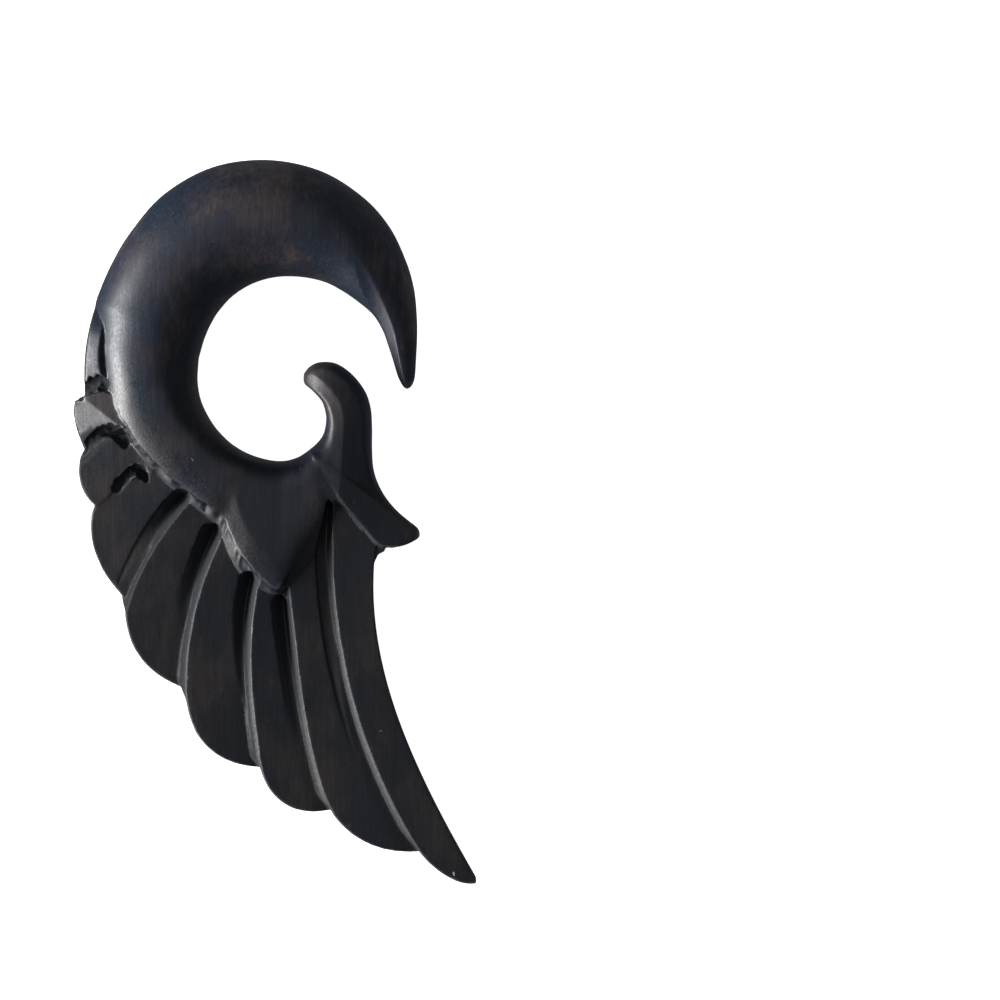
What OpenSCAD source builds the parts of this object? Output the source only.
// Carved wooden ear plug: a crescent hook that runs on into a spread wing.
// It lies on its side, +Z up, with the wing towards -Y and the mouth of the hook towards +X,
// and the origin is at the middle of the foot of its box.
// Plan positions in the tables are millimetres from the centre of the round opening.
// Both faces are carved alike, so every section is mirrored about the mid plane.

/* [Crescent] */
// Full thickness of the crescent where the ear lobe sits
gauge = 11.6; // [9:0.1:13]

/* [Wing] */
// Thickness of the wing where the feathers leave the ring
wing_head_t = 6.2; // [5:0.1:7]
// Thickness of the wing at the feather tips
wing_tip_t = 4.2; // [3.6:0.1:5.5]
// Depth of the hollow along the low side of each feather, at its head
scoop_depth = 0.9; // [0.2:0.05:1.2]
// Height of the slanted wall under each feather's crest
wall_drop = 1.5; // [0.6:0.1:2]
// Depth of the gouge cuts, as a share of the usual depth
gouge_share = 1.0; // [0.6:0.05:1.2]

/* [Rest] */
// Degrees that the wing dips, because the plug lies on its thick crescent and its lower collar
rest_pitch = 2.4; // [0:0.1:5]
// Degrees that the plug leans sideways as it lies
rest_roll = 1.4; // [-3:0.1:3]

/* [Smoothness] */
// Sections along each feather
feather_steps = 14; // [10:1:20]
// Sections between two rows of the body's tables
body_steps = 2; // [1:1:3]
// Spans across each face of the body
face_spans = 8; // [6:1:12]

/* [Hidden] */

// Near-black stained wood
wood = [0.09, 0.09, 0.10];

// Columns of a body row: inner and outer edge point in plan, the crest's place between them,
// the half thickness as a share of the gauge's half, the fullness of the curve (2 is an ellipse),
// how far round the outer edge goes, and how far the wall under it spreads
IN_X = 0; IN_Y = 1; OUT_X = 2; OUT_Y = 3; CREST = 4; SHARE = 5; FULL = 6; CUT = 7; SKIRT = 8;
// The inner edge always rolls right over
inner_cut = 0.99;
// Height of a wall's foot, as a share of the height of the edge above it
foot_share = 0.62;

// Hook and crescent, from the pointed tip round to where the wing begins.
// Angle about the opening, inner and outer radius, then crest, share, fullness, cut and skirt
CRESCENT = [
    [ -9.0, 12.20, 12.35, 0.50, 0.02, 2.0, 0.95, 0],
    [ -8.2, 11.92, 12.62, 0.50, 0.06, 2.0, 0.95, 0],
    [ -6.2, 11.60, 12.86, 0.46, 0.11, 2.0, 0.97, 0],
    [ -2.6, 11.21, 13.00, 0.42, 0.16, 2.0, 0.98, 0],
    [  6.5, 10.75, 13.20, 0.40, 0.25, 2.0, 0.99, 0],
    [ 14,   10.55, 13.60, 0.40, 0.31, 2.0, 0.99, 0],
    [ 22,   10.50, 14.20, 0.42, 0.38, 2.0, 0.99, 0],
    [ 32,   10.35, 15.20, 0.45, 0.47, 2.0, 0.99, 0],
    [ 42,    9.98, 16.25, 0.48, 0.58, 2.0, 0.99, 0],
    [ 54,    9.72, 17.70, 0.50, 0.71, 2.0, 0.99, 0],
    [ 66,    9.60, 18.95, 0.50, 0.82, 2.0, 0.99, 0],
    [ 80,    9.40, 20.20, 0.50, 0.92, 2.0, 0.99, 0],
    [ 95,    9.30, 21.05, 0.50, 0.98, 2.0, 0.99, 0],
    [110,    9.20, 21.50, 0.50, 1.00, 2.0, 0.99, 0],
    [125,    9.05, 21.30, 0.50, 1.00, 2.0, 0.99, 0],
    [139,    8.85, 20.65, 0.50, 0.99, 2.0, 0.99, 0],
    [149,    8.72, 20.20, 0.50, 0.98, 2.0, 0.97, 0.1],
];

// Ring with its sharp outer ridge, the root feather and the feather heads below it,
// then the pointed collar and back up to its notch
COLLAR = [
    [157,    8.66, 19.20, 0.49, 0.96, 2.0, 0.90, 0.95],
    [165,    8.64, 18.15, 0.48, 0.94, 2.1, 0.82, 1.80],
    [174,    8.72, 17.65, 0.48, 0.92, 2.2, 0.78, 2.30],
    [184,    8.80, 17.55, 0.48, 0.90, 2.3, 0.77, 2.60],
    [188.5,  8.86, 17.35, 0.48, 0.89, 2.3, 0.76, 1.40],
    [192,    8.90, 17.15, 0.48, 0.89, 2.3, 0.76, 0.80],
    [199,    8.98, 16.70, 0.48, 0.88, 2.3, 0.74, 0.8],
    [208,    9.02, 16.20, 0.48, 0.86, 2.4, 0.74, 0.8],
    [220,    9.10, 15.75, 0.48, 0.84, 2.5, 0.72, 0.8],
    [232,    9.17, 15.50, 0.48, 0.82, 2.6, 0.70, 0.8],
    [241,    9.20, 15.80, 0.46, 0.80, 2.7, 0.68, 0.7],
    [247,    9.20, 16.30, 0.42, 0.78, 2.8, 0.64, 0.7],
    [252,    9.20, 17.90, 0.38, 0.77, 2.9, 0.64, 0.8],
    [258,    9.20, 19.80, 0.34, 0.76, 3.0, 0.66, 0.8],
    [263.5,  9.20, 21.10, 0.32, 0.76, 3.0, 0.70, 0.7],
    [268,    9.16, 22.20, 0.30, 0.76, 3.0, 0.74, 0.2],
    [271.3,  9.10, 20.40, 0.32, 0.76, 3.0, 0.70, 0.5],
    [275,    8.98, 18.60, 0.36, 0.76, 3.0, 0.66, 0.6],
    [279.5,  8.80, 16.85, 0.42, 0.76, 3.0, 0.62, 0.6],
    [284.5,  8.50, 15.30, 0.50, 0.76, 3.0, 0.58, 0.6],
    [290,    8.20, 13.95, 0.60, 0.75, 3.0, 0.56, 0.3],
];

// Pointed side fin, in plan: its lower edge, its point and back up its right side
FIN = [
    [3.05, -7.45,  5.80, -13.50, 0.66, 0.74, 2.8, 0.60, 0.4],
    [3.30, -7.20,  7.00, -14.95, 0.50, 0.73, 2.4, 0.66, 0.4],
    [3.50, -7.00,  8.25, -16.35, 0.38, 0.72, 2.0, 0.74, 0.3],
    [3.65, -6.80,  9.60, -17.50, 0.32, 0.71, 1.8, 0.82, 0.2],
    [3.75, -6.65, 11.45, -17.60, 0.27, 0.70, 1.6, 0.88, 0],
    [3.85, -6.45, 13.20, -16.85, 0.23, 0.70, 1.5, 0.92, 0],
    [3.95, -6.20, 13.35, -16.10, 0.21, 0.70, 1.4, 0.94, 0],
    [4.00, -6.00, 12.35, -15.25, 0.21, 0.70, 1.4, 0.95, 0],
    [4.05, -5.75, 11.20, -14.25, 0.23, 0.70, 1.4, 0.95, 0],
    [4.10, -5.50, 10.10, -12.95, 0.26, 0.70, 1.45, 0.95, 0],
];

// Curl that bends back into the opening and ends in a blunt tip
CURL = [
    [4.12, -5.10,  9.25, -11.40, 0.30, 0.69, 1.55, 0.95, 0],
    [4.12, -4.75,  8.80,  -9.80, 0.34, 0.68, 1.7, 0.97, 0],
    [4.05, -4.35,  8.68,  -7.80, 0.37, 0.67, 1.8, 0.98, 0],
    [3.95, -3.90,  8.68,  -5.70, 0.38, 0.65, 2.0, 0.98, 0],
    [3.75, -3.40,  8.55,  -3.90, 0.38, 0.62, 2.0, 0.98, 0],
    [3.45, -2.90,  8.00,  -2.20, 0.40, 0.59, 2.0, 0.98, 0],
    [3.00, -2.40,  6.70,  -0.50, 0.42, 0.55, 2.0, 0.98, 0],
    [2.60, -2.00,  5.10,   0.60, 0.45, 0.50, 2.0, 0.97, 0],
    [2.20, -1.68,  3.50,   0.75, 0.48, 0.42, 2.0, 0.96, 0],
    [1.92, -1.42,  2.45,   0.32, 0.50, 0.32, 2.0, 0.95, 0],
    [1.80, -1.05,  1.85,  -0.40, 0.50, 0.18, 2.0, 0.95, 0],
];

// Feathers, after the wing's straight right edge in row 0. The crest line as a head, two handles
// and an end, the handle of the rounded tip, how far the right side runs along the next feather's
// crest, where along its length the tip starts, the fall across it, its wall's spread and its rise
HEAD = 0; H1 = 1; H2 = 2; END = 3; TIP = 4; STOP = 5; TURN = 6; FALL = 7; WALL = 8; RISE = 9;
FEATHERS = [
    [[  9.2, -16.3], [  7.6, -27.5], [ 11.0, -37.2], [ 19.3, -51.4], [ 19.3, -51.4], 1.00, 1.00, 0.0, 0.0, 1.00],
    [[  4.9, -12.0], [  3.9, -25.0], [  6.9, -38.0], [ 13.7, -48.5], [ 16.6, -51.8], 1.00, 0.86, 0.5, 0.5, 1.00],
    [[ -0.4, -20.5], [  1.2, -28.0], [  1.5, -38.0], [  4.8, -44.4], [  7.9, -48.6], 0.99, 0.72, 0.6, 0.6, 1.00],
    [[ -2.3, -19.5], [ -4.6, -28.0], [ -3.6, -35.0], [ -2.3, -40.3], [ -0.4, -45.0], 0.98, 0.72, 0.6, 0.8, 1.00],
    [[ -5.3, -14.5], [ -8.4, -20.5], [-10.3, -27.0], [ -9.8, -33.4], [ -8.7, -39.4], 0.97, 0.70, 0.7, 1.0, 1.00],
    [[ -8.2, -12.0], [-12.0, -15.3], [-14.8, -20.2], [-15.9, -24.6], [-15.4, -29.9], 0.92, 0.66, 0.7, 1.0, 0.98],
    [[-12.0,  -9.5], [-15.8,  -9.9], [-18.4, -11.6], [-19.2, -14.3], [-20.0, -18.9], 0.90, 0.62, 0.7, 0.5, 0.95],
    [[-14.0,  -6.8], [-16.8,  -6.1], [-19.8,  -6.7], [-20.4,  -8.9], [-20.9, -11.9], 0.90, 0.62, 0.8, 0.4, 0.95],
    [[-15.5,  -1.3], [-17.5,  -1.9], [-19.5,  -2.5], [-20.9,  -3.2], [-21.5,  -4.6], 0.86, 0.50, 1.5, 0.6, 1.00],
];
// How far a feather runs in under the crest of the next one
tuck = 0.6;
// Distance from the next crest over which the hollow runs out
scoop_reach = 2.4;
// Places across a feather, from its crest to its low side
ACROSS = [0, 0.3, 0.55, 0.7, 0.8, 0.9, 1];

// Gouge cuts that open the head of each groove and the slit beside the crescent:
// start, end, radius at each, and the floor's height over the mid plane at each
GOUGES = [
    [[ 3.7, -14.9], [ 4.1, -21.5], 0.80, 0.50, 1.2, 1.6],
    [[-0.4, -23.6], [ 0.0, -27.5], 0.80, 0.55, 1.0, 1.5],
    [[-3.7, -21.3], [-4.4, -26.5], 0.85, 0.55, 1.0, 1.5],
    [[-7.5, -17.1], [-9.4, -22.0], 0.90, 0.55, 1.0, 1.5],
    [[-10.3,-13.3], [-13.0,-16.8], 0.90, 0.50, 1.0, 1.5],
    [[-14.0, -9.5], [-16.6,-10.4], 0.75, 0.45, 1.1, 1.5],
    [[-16.2, -5.9], [-19.2, -7.1], 0.75, 0.45, 1.0, 1.3],
    [[-18.3, -1.0], [-19.6, -1.3], 0.75, 0.55, 1.1, 1.0],
    [[-18.1,  4.4], [-18.1, -0.1], 0.15, 0.35, 3.0, 1.7],
];
// How much wider a cut is at its top than at its floor
flare = 1.35;

// Plate under the feathers that ties them to the ring
CORE = [
    [-15, -2], [-18.5, -5], [-18.2, -11], [-16.2, -19], [-12, -26], [-7, -33], [0, -39],
    [9, -43.5], [15, -47], [9.5, -34], [7.2, -20], [5, -11], [-10, -9],
];
core_t = 2.0;

function lerp(a, b, t) = a + (b - a) * t;
function ease(t) = let (c = max(0, min(1, t))) c * c * (3 - 2 * c);
function along(a, b, d) = a + (b - a) / norm(b - a) * d;
function polar(r, a) = [r * cos(a), r * sin(a)];

// A row given by angle and radii, turned into plan points
function ring_row(r) =
    let (inner = polar(r[1], r[0]), outer = polar(r[2], r[0]))
    [inner[0], inner[1], outer[0], outer[1], r[3], r[4], r[5], r[6], r[7]];

// A row of a table at a fractional place, smooth through its neighbours
function row_at(rows, u) =
    let (
        i = min(floor(u), len(rows) - 2),
        t = u - i,
        a = rows[max(i - 1, 0)],
        b = rows[i],
        c = rows[i + 1],
        d = rows[min(i + 2, len(rows) - 1)]
    )
    0.5 * (2 * b + (c - a) * t + (2 * a - 5 * b + 4 * c - d) * t * t + (3 * b - a - 3 * c + d) * t * t * t);

function refined(rows, steps) = [
    for (k = [0:(len(rows) - 1) * steps]) row_at(rows, k / steps)
];

function bezier(f, t) =
    let (s = 1 - t)
    s * s * s * f[HEAD] + 3 * s * s * t * f[H1] + 3 * s * t * t * f[H2] + t * t * t * f[END];

function arc(a, b, c, t) = (1 - t) * (1 - t) * a + 2 * t * (1 - t) * b + t * t * c;

// Height of a rounded face at q, from -1 at one rolled edge over the crest at 0 to 1 at the other
function dome(half, full, q) = half * pow(1 - pow(abs(q), full), 1 / full);

// The upper half of the body's section between its two edges, with the foot of the outer wall
function body_section(r) =
    let (
        inner = [r[IN_X], r[IN_Y]],
        outer = [r[OUT_X], r[OUT_Y]],
        half = gauge / 2 * r[SHARE],
        face = [
            for (j = [0:face_spans])
                let (
                    q = sin(180 * j / face_spans - 90),
                    f = q < 0 ? r[CREST] * (1 + q) : r[CREST] + (1 - r[CREST]) * q,
                    p = lerp(inner, outer, f)
                )
                [p[0], p[1], dome(half, r[FULL], q * (q < 0 ? inner_cut : r[CUT]))]
        ],
        foot = along(outer, inner, -r[SKIRT])
    )
    concat(face, [[foot[0], foot[1], face[face_spans][2] * foot_share]]);

function turned(list) = [for (k = [len(list) - 1:-1:0]) list[k]];

function mirrored_loop(top) = concat(
    top,
    [for (k = [len(top) - 1:-1:0]) [top[k][0], top[k][1], -top[k][2]]]
);

// Edges of feather i at v, from its head (0) to the end of its rounded tip (1)
function feather_left(i, v) =
    let (f = FEATHERS[i], turn = f[TURN])
    v <= turn
        ? bezier(f, v / turn)
        : arc(f[END], f[TIP], bezier(FEATHERS[i - 1], f[STOP]), (v - turn) / (1 - turn));

function feather_right(i, v) = bezier(FEATHERS[i - 1], FEATHERS[i][STOP] * v);

// The upper half of a feather's section: foot of the wall, crest, then down to the low side
function feather_section(i, v) =
    let (
        f = FEATHERS[i],
        left = feather_left(i, v),
        edge = feather_right(i, v),
        near_tip = ease((v - f[TURN] * 0.8) / (f[TURN] * 0.2)),
        wall = lerp(f[WALL] * lerp(0.45, 1, v / f[TURN]), 0.15, near_tip),
        right = along(edge, left, i == 1 ? 0 : -tuck * (1 - 0.9 * ease((v - 0.9) / 0.1))),
        full = norm(feather_right(i, f[TURN]) - feather_left(i, f[TURN])),
        width = norm(edge - left),
        share = v <= f[TURN] ? 1 : width / full,
        crest = lerp(wing_head_t, wing_tip_t, v) / 2 * f[RISE],
        low = crest - f[FALL],
        scoop = i == 1 ? 0 : scoop_depth * (1 - 0.7 * ease(v / 0.9)),
        foot = along(left, right, -wall),
        drop = lerp(wall_drop, 0.5, near_tip)
    )
    concat(
        [[foot[0], foot[1], lerp(low, crest, share) - drop]],
        [
            for (s = ACROSS)
                let (
                    p = lerp(left, right, s),
                    gap = width * (1 - s),
                    z = lerp(low, crest, (1 - s) * share) - scoop * ease(1 - gap / scoop_reach)
                )
                [p[0], p[1], z]
        ]
    );

// Hook, crescent, collar, fin and curl are one flowing piece, so one sweep carries them all
function body_loops() =
    let (rows = concat([for (r = concat(CRESCENT, COLLAR)) ring_row(r)], FIN, CURL))
    [for (r = refined(rows, body_steps)) turned(mirrored_loop(body_section(r)))];

// The last section stays just short of the tip, where the two edges would meet
function feather_loops(i) = [
    for (k = [0:feather_steps]) mirrored_loop(feather_section(i, min(k / feather_steps, 0.995)))
];

// A point once the plug leans as it lies
function leaned(p) =
    let (
        y = p[1] * cos(rest_pitch) - p[2] * sin(rest_pitch),
        z = p[1] * sin(rest_pitch) + p[2] * cos(rest_pitch)
    )
    [p[0] * cos(rest_roll) + z * sin(rest_roll), y, z * cos(rest_roll) - p[0] * sin(rest_roll)];

// The middle of the foot of the leaning plug's box
function box_foot() =
    let (
        feathers = [for (i = [1:len(FEATHERS) - 1]) each feather_loops(i)],
        points = [for (l = concat(body_loops(), feathers), p = l) leaned(p)],
        xs = [for (p = points) p[0]],
        ys = [for (p = points) p[1]],
        zs = [for (p = points) p[2]]
    )
    [(min(xs) + max(xs)) / 2, (min(ys) + max(ys)) / 2, min(zs)];

// A solid through a row of closed sections that all have the same number of points
module skin(loops) {
    n = len(loops[0]);
    last = len(loops) - 1;
    sides = [
        for (k = [0:last - 1], j = [0:n - 1])
            let (a = k * n + j, b = k * n + (j + 1) % n)
            each [[a, b, b + n], [a, b + n, a + n]]
    ];
    ends = [
        [for (j = [n - 1:-1:0]) j],
        [for (j = [0:n - 1]) last * n + j],
    ];
    polyhedron(points = [for (l = loops) each l], faces = concat(sides, ends), convexity = 8);
}

module body() {
    color(wood)
        skin(body_loops());
}

module feather(i) {
    color(wood)
        skin(feather_loops(i));
}

module core() {
    color(wood)
        translate([0, 0, -core_t / 2])
            linear_extrude(core_t)
                polygon(CORE);
}

module wing() {
    for (i = [1:len(FEATHERS) - 1]) feather(i);
    core();
}

// One cut, made alike in both faces, wider at the top than at the floor
module gouge(g) {
    wing_half = wing_head_t / 2;
    for (side = [-1, 1])
        hull() {
            for (k = [0, 1], top = [false, true])
                let (
                    r = g[2 + k] * (top ? flare : 1),
                    floor_z = lerp(wing_half, g[4 + k], gouge_share),
                    z = top ? max(wing_half + 0.5, floor_z + 2.4) : floor_z + r
                )
                translate([g[k][0], g[k][1], side * z])
                    sphere(r, $fn = 10);
        }
}

module ear_plug() {
    translate(-box_foot())
        rotate([rest_pitch, rest_roll, 0])
            difference() {
                union() {
                    body();
                    wing();
                }
                for (g = GOUGES) gouge(g);
            }
}

ear_plug();
